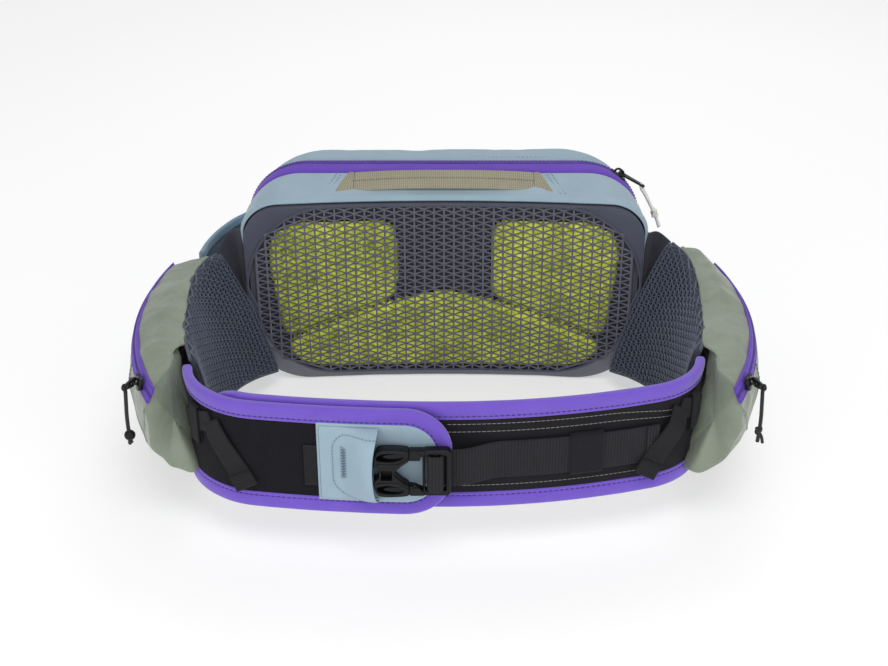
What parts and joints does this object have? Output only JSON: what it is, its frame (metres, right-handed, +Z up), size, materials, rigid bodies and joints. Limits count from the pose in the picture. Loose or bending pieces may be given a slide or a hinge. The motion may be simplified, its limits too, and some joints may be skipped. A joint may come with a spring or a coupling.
{
  "type": "waist pack",
  "caption": "Padded waist pack with a zipped bag, two wing pockets and an elastic hip belt closed by a side-release buckle.",
  "frame": {"origin": "on the floor under the middle of the pack", "axes": "+X to the right of someone who faces the belt buckle, +Y from the buckle towards the bag, +Z up"},
  "size_m": [0.4096, 0.3208, 0.1557],
  "materials": {
    "board": "matte",
    "rim": "matte",
    "mesh": "matte",
    "shell": "matte",
    "zip": "satin",
    "webbing": "matte",
    "handle": "matte",
    "elastic": "matte",
    "violet": "satin",
    "plastic": "satin",
    "foam": "matte",
    "cord_white": "matte",
    "cord_black": "matte",
    "metal": "satin",
    "olive": "satin",
    "stretch": "matte"
  },
  "bodies": {
    "pack": {"back_board": "board", "back_mesh": "mesh", "bag_gusset": "shell", "belt_label": "webbing", "buckle_female": "plastic", "buckle_patch": "shell", "buckle_tongue": "shell", "flap_inner": "elastic", "flap_inner_binding": "violet", "flap_outer": "elastic", "flap_outer_binding": "violet", "handle_end_left": "handle", "handle_end_right": "handle", "hook_patch": "webbing", "inner_sleeve": "board", "key_leash": "webbing", "main_zip_coil": "zip", "main_zip_tape": "zip", "outer_pocket": "shell", "outer_shell": "shell", "outer_zip_coil": "zip", "outer_zip_tape": "zip", "pad_lower": "foam", "pad_upper_left": "foam", "pad_upper_right": "foam", "panel_rim": "rim", "pocket_left": "olive", "pocket_right": "olive", "pocket_zip_tape_left": "zip", "pocket_zip_tape_right": "zip", "side_gusset_left": "stretch", "side_gusset_right": "stretch", "vent_loop_left": "plastic", "vent_loop_right": "plastic", "waist_webbing": "webbing", "wing_pad_left": "mesh", "wing_pad_right": "mesh"},
    "handle_arch": {"grab_handle": "handle"},
    "main_slider_body": {"main_slider": "metal"},
    "main_pull": {"main_pull_tab": "metal", "main_pull_cord": "cord_white"},
    "outer_slider_body": {"outer_slider": "metal"},
    "outer_pull": {"outer_pull_tab": "metal"},
    "left_slider_body": {"pocket_left_slider": "metal"},
    "left_pull": {"pocket_left_pull_tab": "metal", "pocket_left_cord": "cord_black"},
    "right_slider_body": {"pocket_right_slider": "metal"},
    "right_pull": {"pocket_right_pull_tab": "metal", "pocket_right_cord": "cord_black"},
    "buckle_plug": {"buckle_male": "plastic", "webbing_turn": "webbing"},
    "prong_top": {"prong_upper": "plastic"},
    "prong_bottom": {"prong_lower": "plastic"},
    "keeper": {"webbing_keeper": "webbing"},
    "left_vent": {"vent_strap_left": "webbing"},
    "right_vent": {"vent_strap_right": "webbing"}
  },
  "joints": [
    {"name": "grab_handle_lift", "type": "hinge", "parent": "pack", "child": "handle_arch", "pos_m": [0, 0.08809, 0.13904], "axis": [1, 0, 0], "range_deg": [0, 45]},
    {"name": "main_zip_slide", "type": "hinge", "parent": "pack", "child": "main_slider_body", "pos_m": [0.0991, 0.11804, 0.1067], "axis": [0, 1, 0], "range_deg": [-34, 34]},
    {"name": "main_tab_swing", "type": "hinge", "parent": "main_slider_body", "child": "main_pull", "pos_m": [0.12742, 0.11804, 0.14295], "axis": [0, -1, 0], "range_deg": [-3, 80]},
    {"name": "outer_zip_slide", "type": "slide", "parent": "pack", "child": "outer_slider_body", "axis": [-1, 0, 0], "range_m": [0, 0.148]},
    {"name": "outer_tab_swing", "type": "hinge", "parent": "outer_slider_body", "child": "outer_pull", "pos_m": [0.074, 0.15785, 0.1026], "axis": [0, 0, 1], "range_deg": [-4, 150]},
    {"name": "left_pocket_zip_slide", "type": "hinge", "parent": "pack", "child": "left_slider_body", "pos_m": [0.05, -0.008, 0.094], "axis": [0, 0, 1], "range_deg": [-32, 0]},
    {"name": "left_pocket_tab_swing", "type": "hinge", "parent": "left_slider_body", "child": "left_pull", "pos_m": [-0.18596, -0.10477, 0.09651], "axis": [-0.2659, -0.109, -0.9578], "range_deg": [-28, 80]},
    {"name": "right_pocket_zip_slide", "type": "hinge", "parent": "pack", "child": "right_slider_body", "pos_m": [-0.05, -0.008, 0.094], "axis": [0, 0, 1], "range_deg": [0, 32]},
    {"name": "right_pocket_tab_swing", "type": "hinge", "parent": "right_slider_body", "child": "right_pull", "pos_m": [0.18596, -0.10477, 0.09651], "axis": [-0.2659, 0.109, 0.9578], "range_deg": [-28, 80]},
    {"name": "buckle_release", "type": "slide", "parent": "pack", "child": "buckle_plug", "axis": [1, 0, 0], "range_m": [0, 0.04]},
    {"name": "prong_upper_squeeze", "type": "hinge", "parent": "buckle_plug", "child": "prong_top", "pos_m": [-0.0154, -0.1564, 0.077], "axis": [0, 1, 0], "range_deg": [-8, 0], "stiffness_Nm_per_rad": 0.05},
    {"name": "prong_lower_squeeze", "type": "hinge", "parent": "buckle_plug", "child": "prong_bottom", "pos_m": [-0.0154, -0.1564, 0.055], "axis": [0, 1, 0], "range_deg": [0, 8], "stiffness_Nm_per_rad": 0.05},
    {"name": "keeper_slide", "type": "hinge", "parent": "pack", "child": "keeper", "pos_m": [0, 0.271, 0.065], "axis": [0, 0, 1], "range_deg": [-3.5, 1.7]},
    {"name": "left_vent_strap_lift", "type": "hinge", "parent": "pack", "child": "left_vent", "pos_m": [-0.13751, -0.1293, 0.084], "axis": [-0.6172, 0.4819, -0.6219], "range_deg": [0, 45]},
    {"name": "right_vent_strap_lift", "type": "hinge", "parent": "pack", "child": "right_vent", "pos_m": [0.14193, -0.11346, 0.084], "axis": [-0.6172, -0.4819, 0.6219], "range_deg": [0, 45]}
  ]
}
